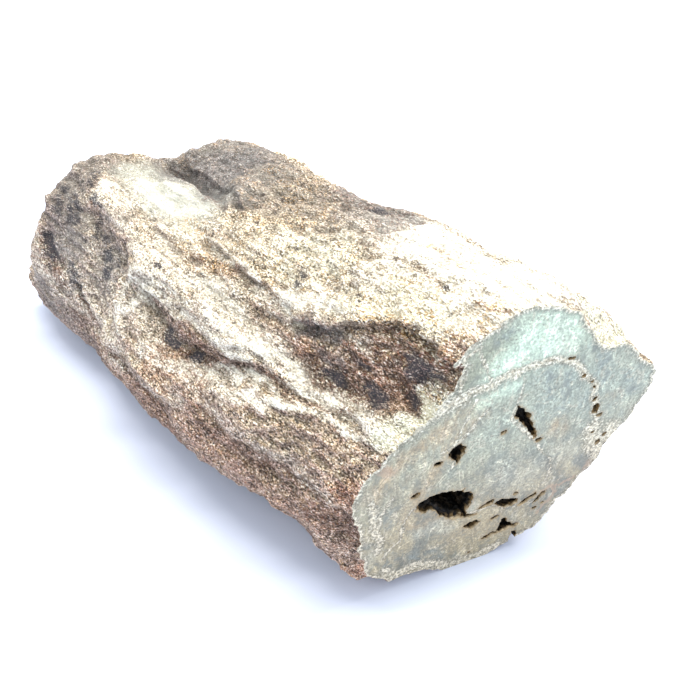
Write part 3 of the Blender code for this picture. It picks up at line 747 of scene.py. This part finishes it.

# %% Stains, pale places and painted light and shade of the bark, drawn as the strokes were
ZONES = {
    # dark: brown stone, darker along grooves, creases and splits, and painted shade in the valley by the
    # sawn face and on the far side
    "dark": [
        ([(32, 141), (38, 140), (44, 137)], 2.6, 0.9), ([(39, 131), (43, 132)], 2.2, 0.9),
        ([(16, 131), (22, 134), (30, 133)], 3, 0.35), ([(44, 115), (50, 115), (55, 115)], 3.2, 1),
        ([(42, 122), (53, 122)], 2.2, 0.9), ([(33, 130), (41, 122)], 2.6, 0.4),
        ([(4, 168), (12, 165), (20, 160), (28, 158), (36, 155), (43, 152)], 0.9, 0.8),
        ([(-8, 164), (-7, 170)], 0.8, 0.6), ([(-4, 172), (6, 174), (14, 168)], 0.9, 0.8),
        ([(10, 65), (26, 63), (27, 82)], 4, 0.5), ([(-62, 140), (-60, 190)], 5, 0.4),
        ([(-52, 176), (-47, 182), (-44, 185)], 2.6, 1),
        ([(-37, 188), (-31, 196), (-21, 195), (-13, 190)], 1.2, 0.9),
        ([(-9, 193), (-4, 197), (5, 201)], 1.9, 1), ([(17, 185), (30, 188)], 3, 0.5),
        ([(-62, 60), (-62, 110)], 5, 0.5), ([(-42, 66), (-27, 79), (-8, 100)], 0.8, 0.7),
        ([(42, 188), (52, 200)], 5, 0.65), ([(-34, 207), (10, 213), (40, 214)], 3, 0.5),
        ([(40, 91), (43, 93), (46, 94)], 0.45, 1), ([(52, 94), (58, 93)], 0.4, 1),
        ([(40, 84), (43, 82), (49, 83)], 0.35, 0.8), ([(27, 69), (32, 76)], 0.5, 0.8),
        ([(-10, 340), (30, 350)], 7, 0.6), ([(-40, 35), (0, 40), (30, 36)], 1.2, 0.8),
        ([(-45, 20), (-20, 10)], 6, 0.6), ([(15, 24), (40, 14)], 6, 0.6),
        ([(-30, 320), (20, 318)], 6, 0.5),
    ],
    # grey: grey stone, and painted shade on the left end and on the upper far side
    "grey": [
        ([(-42, 48), (-24, 60), (-8, 74)], 9, 1), ([(-6, 84), (4, 88)], 4, 0.6),
        ([(-62, 80), (-60, 150)], 7, 0.8), ([(-51, 124), (-50, 150), (-44, 165)], 7.5, 0.75),
        ([(-30, 150), (-26, 170)], 6, 0.5), ([(10, 65), (26, 63), (27, 80)], 3.6, 0.8),
        ([(2, 76), (20, 72)], 7, 0.7),
        ([(-40, 350), (-20, 345)], 6, 0.6), ([(26, 130), (36, 128)], 1.3, 0.8),
        ([(-64, 196), (-48, 204)], 4, 0.6), ([(-42, 205), (-30, 212)], 3, 0.4),
    ],
    "slate": [
        ([(-12, 154), (-11, 157)], 1, 0.5), ([(-2, 172), (1, 172)], 1.1, 1),
        ([(6, 175), (8, 175)], 1.2, 1), ([(-39, 182), (-35, 187)], 1.5, 0.9),
        ([(-29, 165), (-27, 172)], 1.8, 0.9), ([(-24, 163), (-24, 167)], 1.1, 0.7),
        ([(-36, 154), (-31, 155)], 1.4, 0.7), ([(-38, 162), (-35, 164)], 1.2, 0.5),
        ([(-39, 140), (-36, 143)], 2, 0.7), ([(-52, 145), (-51, 152)], 2, 0.6),
        ([(-52, 175), (-48, 181)], 2.4, 1), ([(27, 105), (34, 107)], 1.2, 0.5),
        ([(46, 92), (48, 92)], 1, 0.5), ([(49, 97), (52, 95)], 0.8, 0.4),
        ([(-42, 66), (-27, 79), (-12, 94)], 0.5, 0.5), ([(-46, 127), (-44, 128)], 1.4, 0.6),
        ([(-46, 151), (-44, 153)], 1.8, 0.8), ([(-21, 156), (-19, 157)], 1.2, 0.6),
        ([(-12, 142), (-10, 142)], 1, 0.8), ([(-3, 130), (-1, 130)], 0.9, 0.6),
        ([(15, 105), (17, 105)], 0.9, 0.6), ([(20, 113), (22, 113)], 0.9, 0.6),
        ([(20, 68), (22, 68)], 1.4, 0.8),
        ([(33, 138), (36, 139)], 1.4, 0.9), ([(42, 134), (45, 137)], 1.6, 0.9),
        ([(49, 122), (54, 121)], 1.4, 0.8), ([(0, 139), (3, 142)], 1, 0.6),
        ([(-20, 12), (-17, 12)], 1.6, 0.9), ([(24, 30), (27, 31)], 1.4, 0.9),
        ([(4, 350), (6, 350)], 1.3, 0.8),
    ],
    # pale: pale stone on worn ridges, and painted light on the lit top
    "pale": [
        ([(-34, 104), (-22, 104), (-14, 102)], 6, 1), ([(-40, 134), (-8, 149)], 2.4, 0.5),
        ([(-20, 122), (-8, 128)], 3, 0.6),
        ([(-8, 148), (2, 145), (16, 147), (32, 150), (50, 148)], 2.4, 0.85),
        ([(-12, 155), (-2, 157), (10, 157), (20, 155)], 1.8, 0.8),
        ([(-4, 183), (11, 178), (24, 172)], 0.9, 0.8),
        ([(13, 173), (20, 169), (27, 164), (35, 160), (46, 157)], 0.8, 1),
        ([(22, 119), (28, 122), (33, 126), (40, 123)], 1.3, 0.5),
        ([(30, 74), (56, 84)], 10, 1), ([(34, 97), (57, 97)], 5.5, 0.85),
        ([(14, 102), (34, 90)], 6, 0.6), ([(-16, 134), (2, 141), (24, 142)], 2.4, 0.8),
        ([(20, 122), (32, 115), (42, 106)], 2.6, 1), ([(-5, 112), (22, 106), (40, 102)], 4, 0.5),
        ([(-30, 116), (-17, 121), (-3, 117)], 3, 0.7), ([(-48, 146), (-35, 132)], 2.4, 0.4),
        ([(-40, 171), (-37, 175)], 2.2, 0.35), ([(-12, 170), (-4, 179)], 3, 0.4),
        ([(-18, 196), (10, 186)], 2, 0.3), ([(61, 56), (64, 50)], 4, 0.8),
        ([(-6, 120), (7, 125), (26, 129)], 1.4, 0.8), ([(-4, 181), (46, 181)], 1.3, 0.3),
        ([(-14, 156), (-17, 166), (-14, 178)], 1.2, 0.9), ([(0, 40), (40, 44)], 4, 0.3),
        ([(-56, 190), (-16, 186)], 8, 0.42), ([(-40, 170), (-20, 178)], 7, 0.32),
        ([(54, 130), (51, 136), (50, 148)], 2.4, 1), ([(16, 146), (30, 149), (38, 152)], 1.6, 1),
        ([(-40, 131), (-32, 129)], 2, 0.9), ([(-11, 160), (-13, 170)], 2.2, 0.9),
        ([(-50, 20), (-10, 28), (30, 22)], 2, 0.7), ([(-30, 345), (20, 338)], 1.6, 0.7),
    ],
    "rind": [
        ([(56, 128), (53, 131), (50, 135), (50, 142), (50, 150)], 2.2, 1),
        ([(60, 60), (63, 54), (66, 45)], 3.4, 0.9), ([(34, 108), (46, 101)], 4, 0.4),
        ([(14, 104), (24, 98)], 4, 0.4),
    ],
    "rust": [
        ([(0, 182), (14, 180)], 3, 0.7), ([(47, 177), (50, 174)], 2, 0.8),
        ([(14, 194), (50, 196)], 5, 0.3), ([(48, 228), (56, 232)], 4, 0.7),
        ([(51, 219), (54, 223)], 1.6, 0.7), ([(20, 140), (28, 134)], 2.5, 0.6),
        ([(-8, 127), (6, 131)], 3, 0.6), ([(53, 108), (56, 103)], 1.6, 1),
        ([(44, 132), (49, 127)], 2.4, 0.6), ([(0, 350), (14, 355)], 4, 0.7),
        ([(-20, 200), (4, 204)], 3, 0.4),
    ],
    "ochre": [
        ([(34, 108), (46, 103)], 5, 0.9), ([(3, 105), (24, 100)], 8, 0.6),
        ([(38, 85), (41, 82), (47, 83)], 0.7, 1), ([(53, 93), (57, 90)], 0.8, 1),
        ([(37, 106), (57, 100)], 3.4, 0.8), ([(-14, 122), (4, 128)], 4, 0.7),
        ([(56, 117), (53, 130), (52, 146)], 1.6, 0.6), ([(-10, 70), (10, 80)], 6, 0.4),
        ([(-40, 30), (30, 20)], 8, 0.5),
    ],
}
BEND, BEND_SIZE = 3.0, (14, 6, 6)  # mm that noise moves the edges of a zone
bend = BEND * fractal(points, BEND_SIZE, 3, 31.0)
for name, patches in ZONES.items():
    zone = np.zeros(len(points))
    for line, width, strength in patches:
        gap, _ = stroke_gap(points, line, bend)
        zone = np.maximum(zone, strength * np.exp(-((gap / width) ** 4)))
    keep(stone, name, zone)

# %% Colours of the sawn face, drawn as lines of (y, z) with a width
TINTS = {
    "mint": [
        ([(-1.4, 49), (2, 51), (7.5, 50.5)], 4.2, 1), ([(-5, 40.6), (0, 42.4)], 1.7, 0.55),
    ],
    "green": [
        ([(-9, 45.6), (-6.4, 48.6), (-4, 52)], 2.8, 1), ([(11, 50.6), (17, 47)], 2, 0.5),
    ],
    "blue": [
        ([(5.8, 43), (6.4, 37.6)], 1.3, 0.9), ([(9, 41), (9.4, 33)], 1.6, 0.8),
        ([(14.9, 44.2), (16.6, 38.5)], 1.4, 1), ([(21, 38), (22.6, 33)], 1.2, 0.9),
        ([(-17.6, 8), (-14, 7.6), (-8.4, 4.6)], 1.8, 0.9), ([(12.2, 37.5), (13.4, 34.6)], 1.3, 0.7),
        ([(-3.8, 52.2), (-1.6, 53.8)], 0.9, 1), ([(-18.6, 18), (-17.6, 22.5)], 1.4, 0.7),
        ([(-6.6, 34), (-3.8, 38.6)], 0.9, 0.7), ([(11.5, 45.9), (16.2, 45)], 0.8, 0.8),
    ],
    "tan": [
        ([(-20.5, 27.5), (-16.9, 33), (-12.4, 35.8), (-7.3, 39)], 2.8, 1),
        ([(-15.4, 19.5), (-13, 25), (-9, 33.4), (-5.6, 37.6)], 1.9, 0.9),
        ([(-17.5, 27.5), (-12, 34)], 3.6, 0.5),
        ([(9.1, 30.4), (10.4, 29)], 1.6, 0.9), ([(-14.4, 16.8), (-11, 16)], 1.4, 0.7),
        ([(-6, 9.6), (0, 8.4)], 2.2, 0.4), ([(17.5, 33.6), (19, 33)], 1.1, 0.5),
    ],
    "milky": [
        ([(-13.1, 14), (-10.2, 14.4), (-7.6, 12.4)], 1.5, 0.8), ([(2, 22), (4.6, 19)], 3.6, 0.6),
        ([(-21.6, 9.8), (-20.6, 12.4)], 1.3, 0.9), ([(-3.2, 15), (-3.9, 16.4)], 0.8, 0.9),
        ([(11, 24), (14, 22)], 2.2, 0.6), ([(5.8, 52), (8, 47.4)], 1.6, 0.5),
    ],
}
TINT_BEND, TINT_BEND_SIZE = 1.1, (4, 4, 4)  # mm
bend = TINT_BEND * fractal(points, TINT_BEND_SIZE, 3, 37.0)
spots = points[:, 1:] + bend[:, None]
for name, patches in TINTS.items():
    zone = np.zeros(len(points))
    for line, width, strength in patches:
        gap = flat_gap(spots, line)
        zone = np.maximum(zone, strength * np.exp(-((gap / width) ** 2)))
    keep(stone, name, zone)


# %% Distances on the sawn face
FAR = 9.0  # mm past which a distance doesn't matter


def gap_to(mask):
    """The distance of each point of the face from the nearest point of a mask, in mm."""
    tree = KDTree(int(mask.sum()))
    for index in np.flatnonzero(mask):
        tree.insert(points[index], int(index))
    tree.balance()
    gap = np.full(len(points), FAR)
    for index in np.flatnonzero(face_point):
        gap[index] = min(tree.find(points[index])[2], FAR)
    return gap


keep(stone, "rim", gap_to(bark_point))
keep(stone, "mouth", gap_to(vug_point))
keep(stone, "vein", np.clip(vein, 0, FAR))
keep(stone, "pink", np.clip(vein_gap(points, PINK_VEINS), 0, FAR))
keep(stone, "below", np.clip((SAW_POINT - points) @ SAW_OUT, 0, FAR))

# %% [markdown]
# ## Step 8: materials
#
# Three finishes meet on this stone, and each is a small graph of nodes. Short helpers
# keep the graphs readable: one adds a node and plugs in its inputs, one stretches a
# number to the range from 0 to 1, one mixes two colours. Colours are written as a
# painter reads them, from 0 to 255, and are turned to the linear numbers that light
# needs.


# %% Helpers for materials
def paint(red, green, blue):
    """A colour read from a screen, as linear numbers."""
    linear = [(c / 255 / 12.92) if c < 11 else ((c / 255 + 0.055) / 1.055) ** 2.4
              for c in (red, green, blue)]
    return (*linear, 1.0)


class Graph:
    """A material's node graph, with the few moves that this lesson needs."""

    def __init__(self, name):
        self.material = bpy.data.materials.get(name) or bpy.data.materials.new(name)
        self.material.use_nodes = True
        self.tree = self.material.node_tree
        self.shader = self.tree.nodes["Principled BSDF"]
        place = self.add("ShaderNodeTexCoord")
        self.place = place.outputs["Object"]

    def plug(self, socket, value):
        if isinstance(value, bpy.types.NodeSocket):
            self.tree.links.new(value, socket)
        else:
            socket.default_value = value

    def add(self, kind, inputs=None, **settings):
        node = self.tree.nodes.new(kind)
        for name, value in settings.items():
            setattr(node, name, value)
        for name, value in (inputs or {}).items():
            self.plug(node.inputs[name], value)
        return node

    def known(self, name, share=None):
        """A number kept on the mesh, times a share if one is given."""
        number = self.add("ShaderNodeAttribute", attribute_name=name).outputs["Fac"]
        return number if share is None else self.times(number, share)

    def space(self, scale):
        """Object coordinates in mm, divided by a scale along each axis."""
        inputs = {"Vector": self.place, "Scale": tuple(1 / MM / s for s in scale)}
        return self.add("ShaderNodeMapping", inputs).outputs["Vector"]

    def noise(self, scale, detail=3.0, rough=0.55, bend=0.0):
        inputs = {"Vector": self.space(scale), "Scale": 1.0, "Detail": detail,
                  "Roughness": rough, "Distortion": bend}
        return self.add("ShaderNodeTexNoise", inputs).outputs["Fac"]

    def cells(self, scale):
        """Grains: two random numbers for each cell, and the distance from its middle."""
        node = self.add("ShaderNodeTexVoronoi", {"Vector": self.space(scale), "Scale": 1.0})
        split = self.add("ShaderNodeSeparateColor", {"Color": node.outputs["Color"]})
        return split.outputs["Red"], split.outputs["Green"], node.outputs["Distance"]

    def stretch(self, value, low, high):
        """0 below low, 1 above high, and smooth between; low above high turns it round."""
        inputs = {"Value": value, "From Min": low, "From Max": high}
        return self.add("ShaderNodeMapRange", inputs, interpolation_type="SMOOTHSTEP").outputs[0]

    def between(self, value, low, high, at_low, at_high):
        """A straight ramp from one number at low to another at high, level outside."""
        inputs = {"Value": value, "From Min": low, "From Max": high,
                  "To Min": at_low, "To Max": at_high}
        return self.add("ShaderNodeMapRange", inputs).outputs[0]

    def blend(self, share, a, b):
        """Mixes two numbers."""
        return self.add("ShaderNodeMix", {0: share, 2: a, 3: b}, data_type="FLOAT").outputs[0]

    def lit(self, colour, light):
        """A colour made lighter or darker, and never brighter than chalk."""
        scaled = self.add("ShaderNodeVectorMath", {0: colour, "Scale": light}, operation="SCALE")
        chalk = {0: scaled.outputs[0], 1: (0.92, 0.91, 0.87)}
        return self.add("ShaderNodeVectorMath", chalk, operation="MINIMUM").outputs[0]

    def sum(self, a, b, kind="ADD"):
        return self.add("ShaderNodeMath", {0: a, 1: b}, operation=kind).outputs[0]

    def times(self, a, b):
        return self.sum(a, b, "MULTIPLY")

    def mix(self, share, a, b):
        """Mixes two colours."""
        return self.add("ShaderNodeMix", {0: share, 6: a, 7: b}, data_type="RGBA").outputs[2]

    def stain(self, colour, mask, share, tone):
        """Lays a tone over a colour. The mask is a number, or the name of one on the mesh."""
        mask = self.known(mask) if isinstance(mask, str) else mask
        return self.mix(self.times(mask, share), colour, tone)

    def finish(self, colour, rough, bumps):
        """Plugs the colour, the roughness and a chain of bumps into the shader."""
        self.plug(self.shader.inputs["Base Color"], colour)
        self.plug(self.shader.inputs["Roughness"], rough)
        normal = None
        for height, depth in bumps:
            inputs = {"Height": height, "Distance": depth * MM, "Strength": 1.0}
            if normal:
                inputs["Normal"] = normal
            normal = self.add("ShaderNodeBump", inputs).outputs["Normal"]
        self.plug(self.shader.inputs["Normal"], normal)
        print(self.material.name, "has", len(self.tree.nodes), "nodes")
        return self.material


# %% [markdown]
# ### The bark
#
# From a distance the bark is pinkish tan. Close up it is sand: cream, tan, brown and
# black grains a third of a millimetre across, drawn out a little along the grain, with
# pale threads of fibre among them. The hue comes first, from broad noises and the zones
# kept on the mesh; the pale zones are broken up into long strips. Part of the hue is
# painted light and shade: faces that point up are painted lighter, the pale zones carry
# painted light on the lit top as well as pale stone, and the dark and grey zones carry
# painted shade as well as brown and grey stone. Then painted light and shade are
# multiplied in: hollows darker, ridges lighter, and the grains over all, so that a
# dark place has dark grains and a pale place has pale ones. Clumps of black grains that
# crowd into the slate-coloured spots come last.

# %% Bark: hue
bark = Graph("sandy_bark")
broad = bark.noise((16, 9, 9), 4.0, 0.6, 0.4)
middle = bark.noise((6.5, 2.6, 2.6), 4.0, 0.62, 0.3)
patchy = bark.stretch(bark.noise((6, 3.4, 3.4), 3.0, 0.6), 0.40, 0.60)
tinge = bark.noise((2.6, 1.5, 1.5), 3.0, 0.6)
fibres = bark.noise((4.0, 0.6, 0.6), 3.0, 0.65, 0.5)
thread = bark.sum(bark.sum(bark.noise((2.6, 0.9, 0.9), 3.0, 0.6, 1.6), -0.5), 0.0, "ABSOLUTE")
sand = bark.noise((0.44, 0.24, 0.24), 2.0, 0.8, 0.6)
grain, kind, grain_gap = bark.cells((0.4, 0.28, 0.28))
colour = bark.mix(bark.stretch(broad, 0.36, 0.64), paint(144, 122, 108), paint(117, 101, 90))
# Faces that point up are painted lighter: painted light on the lit top.
painted_top_light = bark.stretch(bark.sum(bark.known("upward"), bark.times(broad, 0.8)), 0.6, 1.3)
colour = bark.stain(colour, painted_top_light, 0.7, paint(150, 138, 116))
colour = bark.stain(colour, bark.stretch(tinge, 0.54, 0.66), 0.4, paint(150, 128, 96))
colour = bark.stain(colour, bark.stretch(tinge, 0.46, 0.34), 0.4, paint(150, 120, 108))
colour = bark.stain(colour, "rust", 0.5, paint(146, 96, 66))
# The pale zones: pale stone on worn ridges, and painted light on the lit top.
strips = bark.between(bark.noise((14, 1.1, 1.1), 3.0, 0.6, 0.4), 0.42, 0.58, 0.35, 1.0)
whole = bark.between(bark.known("pale"), 0.8, 1.0, 0.0, 0.4)
pale = bark.sum(bark.times(bark.known("pale"), strips), whole)
colour = bark.stain(colour, pale, 0.85, paint(222, 216, 200))
colour = bark.stain(colour, "rind", 0.85, paint(205, 203, 180))
colour = bark.stain(colour, "worn", 0.75, paint(174, 180, 171))
# The dark zones: brown stone, and painted shade in the valley by the sawn face and on the far side.
brown_and_painted_shade = bark.times(bark.known("dark"), bark.between(grain, 0.60, 0.64, 0.85, 0.1))
colour = bark.mix(brown_and_painted_shade, colour, paint(92, 66, 46))
# The grey zones: grey stone, and painted shade on the left end and the upper far side.
colour = bark.stain(colour, "grey", 0.85, paint(99, 98, 98))
colour = bark.stain(colour, "slate", 0.45, paint(64, 63, 66))
colour = bark.stain(colour, "ochre", 0.25, paint(206, 188, 150))
share = bark.sum(0.1, bark.known("ochre", 0.6))
ochre_grain = bark.times(bark.stretch(kind, 0.66, 0.70), bark.times(share, patchy))
colour = bark.mix(ochre_grain, colour, paint(176, 132, 76))
share = bark.sum(0.2, bark.times(bark.sum(bark.known("rust"), bark.known("dark"), "MAXIMUM"), 0.4))
colour = bark.mix(bark.times(bark.stretch(kind, 0.24, 0.20), share), colour, paint(104, 64, 50))
faded = {"Color": colour, "Saturation": bark.between(sand, 0.40, 0.52, 0.65, 1.25)}
colour = bark.add("ShaderNodeHueSaturation", faded).outputs[0]

# %% Bark: light and shade
# Hollows and wide dips are painted darker and ridges lighter: painted shade and light.
relief = bark.sum(bark.known("hollow"), bark.times(bark.sum(fibres, -0.5), 2.6))
shade = bark.between(relief, -0.8, 0.9, 1.25, 0.6)
shade = bark.times(shade, bark.between(middle, 0.36, 0.64, 1.12, 0.86))
shade = bark.times(shade, bark.between(bark.known("deep"), -0.4, 0.9, 1.06, 0.72))
grit = bark.between(sand, 0.38, 0.62, 2.3, 0.08)
grit = bark.times(grit, bark.between(grain, 0.80, 0.84, 1.0, 1.8))
grit = bark.times(grit, bark.between(grain, 0.12, 0.16, 0.2, 1.0))
grit = bark.times(grit, bark.between(thread, 0.0, 0.05, 2.1, 0.85))
calm = bark.sum(bark.between(patchy, 0.0, 1.0, 0.2, 0.0), bark.known("grey", 0.4))
grit = bark.blend(calm, grit, 1.0)
light = bark.times(shade, grit)
light = bark.blend(bark.known("worn", 0.85), light, 1.0)
# In the pale zones the light is pushed up and the grains fade: painted light, as on an over-bright top.
light = bark.blend(bark.times(pale, 0.45), light, 1.12)
colour = bark.lit(colour, light)
clump = bark.sum(bark.noise((2.2, 1.3, 1.3), 3.0, 0.6), bark.known("slate", 0.28))
clump = bark.sum(clump, bark.known("dark", 0.06))
clump = bark.sum(clump, bark.known("pale", -0.08))
clump = bark.times(bark.stretch(clump, 0.60, 0.70), bark.stretch(sand, 0.36, 0.5))
clump = bark.times(clump, bark.sum(1.0, bark.known("worn", -0.8)))
black = bark.mix(bark.known("slate"), paint(48, 36, 28), paint(48, 50, 58))
colour = bark.stain(colour, clump, 0.85, black)
bark.finish(
    colour, 0.92,
    [(bark.noise((2.4, 0.7, 0.7), 4.0, 0.65), 0.45), (grain_gap, 0.1), (sand, 0.2)])

# %% [markdown]
# ### The sawn face
#
# Chalcedony is cloudy. The colour drifts from grey-brown below to a lighter grey-green
# above: partly the stone's own tint and partly painted light on the top of the face.
# The drawn tints add mint, green, blue, tan and milk. Finer noises make the haze, the
# speckles, the hairline cracks, which are where a noise is close to its middle, and the
# scratches of the polish. Near the edge and along the veins it turns to a grainy cream
# rind, also lighter towards the top. The polish is worn: it is smoother than the bark,
# but it isn't a mirror.

# %% Sawn face: the clouded polish
cut = Graph("sawn_chalcedony")
cloud = cut.noise((7, 7, 7), 4.0, 0.62, 0.8)
streak = cut.noise((3, 1.4, 4.5), 4.0, 0.62, 0.5)
haze = cut.noise((2.4, 1.8, 2.4), 4.0, 0.68, 1.2)
fleck = cut.noise((0.45, 0.45, 0.45), 3.0, 0.75)
line = cut.sum(cut.sum(cut.noise((9, 5, 9), 5.0, 0.6, 0.8), -0.5), 0.0, "ABSOLUTE")
up = cut.add("ShaderNodeSeparateXYZ", {"Vector": cut.place}).outputs["Z"]
colour = cut.mix(cut.stretch(cloud, 0.36, 0.62), paint(112, 111, 98), paint(150, 138, 110))
# Lighter and greener towards the top of the face: partly the stone's tint and partly painted light.
lighter = cut.stretch(cut.sum(up, cut.times(cloud, 0.01)), 0.020, 0.042)
colour = cut.stain(colour, lighter, 0.75, paint(151, 161, 145))
colour = cut.stain(colour, "mint", 0.9, paint(206, 227, 202))
colour = cut.stain(colour, "green", 0.8, paint(132, 134, 112))
blue = cut.times(cut.known("blue"), cut.between(haze, 0.42, 0.56, 1.0, 0.2))
colour = cut.stain(colour, blue, 0.55, paint(108, 120, 123))
tan = cut.times(cut.known("tan"), cut.between(cut.noise((3, 1.2, 3), 3.0), 0.3, 0.6, 0.3, 1.0))
colour = cut.stain(colour, tan, 0.85, paint(158, 138, 106))
colour = cut.stain(colour, "milky", 0.6, paint(178, 176, 158))
colour = cut.stain(colour, cut.stretch(haze, 0.54, 0.62), 0.4, paint(180, 170, 150))
colour = cut.stain(colour, cut.stretch(haze, 0.46, 0.38), 0.45, paint(110, 114, 106))
mottle = cut.between(streak, 0.34, 0.66, 1.18, 0.82)
speck = cut.between(fleck, 0.34, 0.66, 1.6, 0.42)
speck = cut.blend(cut.between(haze, 0.40, 0.55, 0.7, 0.1), speck, 1.0)
mottle = cut.times(mottle, speck)
mottle = cut.times(mottle, cut.between(line, 0.0, 0.012, 1.7, 1.0))
scratch = cut.stretch(cut.noise((5, 0.35, 2.6), 2.0, 0.6, 0.6), 0.64, 0.72)
colour = cut.mix(cut.times(scratch, 0.3), cut.lit(colour, mottle), paint(196, 192, 174))

# %% Sawn face: grainy veins, rim and mouths of the vugs
wander = cut.times(cut.sum(fleck, -0.5), 3.6)
vein_line = cut.stretch(cut.sum(cut.known("vein"), wander), 1.35, 0.45)
rim_line = cut.stretch(cut.sum(cut.known("rim"), wander), 0.9, 0.2)
mouth_line = cut.stretch(cut.sum(cut.known("mouth"), wander), 0.5, 0.0)
pink_line = cut.stretch(cut.sum(cut.known("pink"), wander), 1.3, 0.5)
colour = cut.stain(colour, pink_line, 0.6, paint(164, 134, 108))
colour = cut.stain(colour, mouth_line, 0.6, paint(150, 128, 92))
soft = cut.sum(vein_line, rim_line, "MAXIMUM")
grit = cut.noise((0.5, 0.5, 0.5), 3.0, 0.75)
# The cream rind is lighter towards the top as well: partly its tint and partly painted light.
cream = cut.mix(lighter, paint(226, 216, 196), paint(240, 236, 216))
cream = cut.mix(cut.stretch(fleck, 0.4, 0.6), cream, paint(208, 196, 170))
cream = cut.lit(cream, cut.between(grit, 0.40, 0.60, 1.2, 0.42))
colour = cut.stain(colour, soft, 0.9, cream)
cut.finish(
    colour, cut.sum(0.38, cut.times(soft, 0.4)),
    [(cut.times(grit, soft), 0.25), (cut.noise((0.6, 0.6, 0.6), 3.0), 0.03)])

# %% [markdown]
# ### The vugs
#
# A vug is a hollow where crystals grew. Its walls are painted nearly black with a little
# brown, and its mouth is ochre. Its lower lip, where it faces up, is painted cream:
# painted light on the lit lip. Small crystal faces catch the light. The IOR is set low,
# because walls as shiny as glass would mirror the bright room and look grey.

# %% Vug walls
vug = Graph("dark_vug")
crystal, tint, crystal_gap = vug.cells((0.6, 0.6, 0.6))
colour = vug.mix(vug.stretch(crystal, 0.6, 0.95), paint(12, 11, 9), paint(44, 36, 26))
mouth = vug.stretch(vug.sum(vug.known("below"), vug.times(tint, 0.9)), 1.4, 0.3)
colour = vug.stain(colour, mouth, 0.85, paint(138, 112, 74))
# The lip that faces up is painted cream: painted light on the lit lip.
lip = vug.times(vug.stretch(vug.known("below"), 0.5, 0.1), vug.stretch(vug.known("upward"), 0.2, 0.7))
colour = vug.stain(colour, lip, 0.7, paint(222, 200, 164))
vug.shader.inputs["IOR"].default_value = 1.25
vug.finish(colour, 0.6, [(crystal_gap, 0.3)])

# %% Smooth shading, with sharp rims where the saw and the vugs cut
SHARP = math.radians(60)
only(stone)
bpy.ops.object.shade_smooth_by_angle(angle=SHARP)
print("material slots:", [slot.name for slot in stone.material_slots])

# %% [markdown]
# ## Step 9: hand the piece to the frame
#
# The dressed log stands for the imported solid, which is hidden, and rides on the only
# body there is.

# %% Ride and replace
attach(stone, "root")
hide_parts("stump")
print(stone.name, "rides on root, for the stump")

# %% [markdown]
# ## Step 10: floor and light
#
# A white floor, bright bluish-white light from all around, and one long narrow lamp,
# warm white, high up behind the log. The strip runs nearly in line with the sawn face
# but ten centimetres behind it, so the room lights the face and the lamp hardly grazes
# it. The lamp bleaches the top of the log and lays a short soft shadow along its near side.

# %% Floor
bpy.ops.object.select_all(action="DESELECT")
bpy.ops.mesh.primitive_plane_add(size=6.0, location=(0, 0, 0))
floor = bpy.context.object
floor.name = "floor"
white = Graph("white_paper")
floor.data.materials.append(white.finish(paint(212, 219, 237), 0.9, [(white.noise((40, 40, 40)), 0.01)]))
print("floor:", floor.dimensions[0], "m wide")

# %% Light
world = bpy.data.worlds.new("studio")
bpy.context.scene.world = world
world.use_nodes = True
room = world.node_tree.nodes["Background"].inputs
room["Color"].default_value = (0.90, 0.95, 1.0, 1.0)
room["Strength"].default_value = 1.32
LAMP_AT = Vector((0.08, 0.32, 0.92))
LAMP_WIDE, LAMP_LONG = 0.08, 1.35  # m
LAMP_ROLL = -17  # degrees
strip = bpy.data.lights.new("strip_lamp", "AREA")
strip.shape, strip.size, strip.size_y = "RECTANGLE", LAMP_WIDE, LAMP_LONG
strip.energy = 20.0
strip.color = (1.0, 0.97, 0.92)
lamp = bpy.data.objects.new("strip_lamp", strip)
bpy.context.scene.collection.objects.link(lamp)
lamp.location = LAMP_AT
lamp.rotation_euler = (-LAMP_AT).to_track_quat("-Z", "Y").to_euler()
lamp.rotation_euler.rotate_axis("Z", math.radians(LAMP_ROLL))
print("lamp:", strip.energy, "W,", round(LAMP_AT.length, 2), "m from the log")
bpy.context.scene.view_settings.view_transform = "Standard"
bpy.context.scene.view_settings.look = "None"
